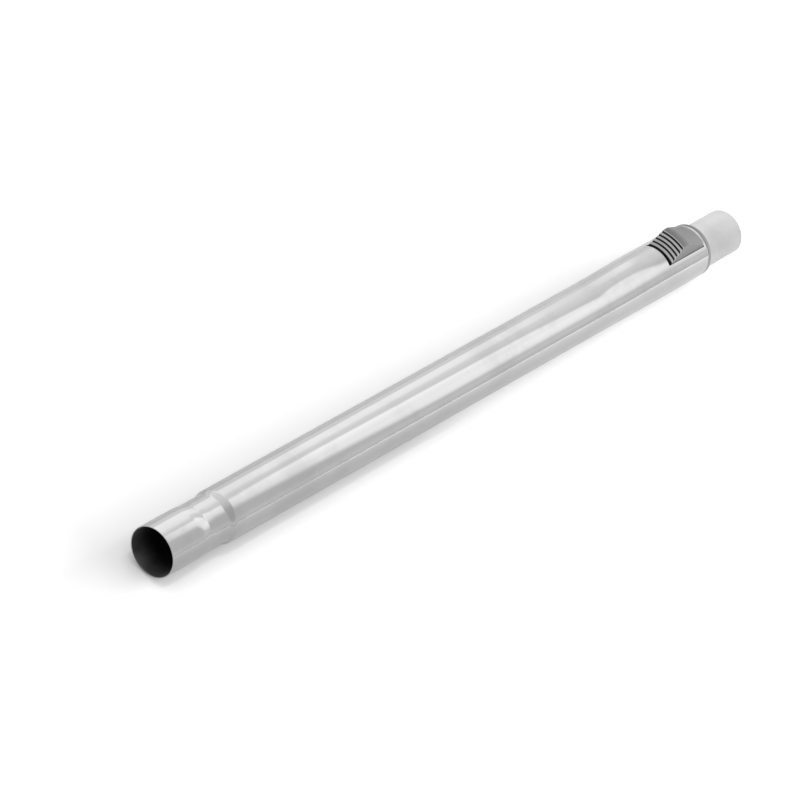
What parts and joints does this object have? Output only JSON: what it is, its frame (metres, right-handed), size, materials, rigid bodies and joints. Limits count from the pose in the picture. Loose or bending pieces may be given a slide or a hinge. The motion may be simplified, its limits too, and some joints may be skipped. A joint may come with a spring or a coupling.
{
  "type": "telescopic vacuum wand",
  "caption": "Chromed telescopic vacuum cleaner wand: swaged outer tube with a plug seat at the mouth, sliding inner tube and a ridged grey release button near the handle end",
  "frame": {"origin": "centre of the mouth's end face, on the tube axis", "axes": "+X along the wand from the mouth to the handle end, +Z to the release button, the wand closed and lying with its button up"},
  "size_m": [0.597, 0.0374, 0.0475],
  "materials": {
    "chrome_outer": "bright chrome plate",
    "chrome_inner": "satin chrome plate",
    "sleeve_plastic": "plain moulded",
    "ring_plastic": "fine grain",
    "carriage_plastic": "plain moulded",
    "button_plastic": "satin, fine grain",
    "seal_rubber": "matte",
    "spring_steel": "bare"
  },
  "bodies": {
    "outer": {"outer_tube": "chrome_outer", "guide_sleeve": "sleeve_plastic", "wiper_seal": "seal_rubber", "end_ring": "ring_plastic", "catch_spring": "spring_steel", "catch_rivet": "spring_steel", "return_spring_left": "spring_steel", "return_spring_right": "spring_steel"},
    "inner": {"inner_tube": "chrome_inner", "rear_glide": "sleeve_plastic", "rear_seal": "seal_rubber"},
    "button": {"slide_carriage": "carriage_plastic", "button_cap": "button_plastic"}
  },
  "joints": [
    {"name": "telescope", "type": "slide", "parent": "outer", "child": "inner", "axis": [1, 0, 0], "range_m": [0, 0.36], "deforming": ["catch_spring"]},
    {"name": "button_slide", "type": "slide", "parent": "outer", "child": "button", "axis": [-1, 0, 0], "range_m": [0, 0.002], "stiffness_N_per_m": 400, "springref_m": -0.008, "deforming": ["catch_spring", "return_spring_left", "return_spring_right"]}
  ]
}
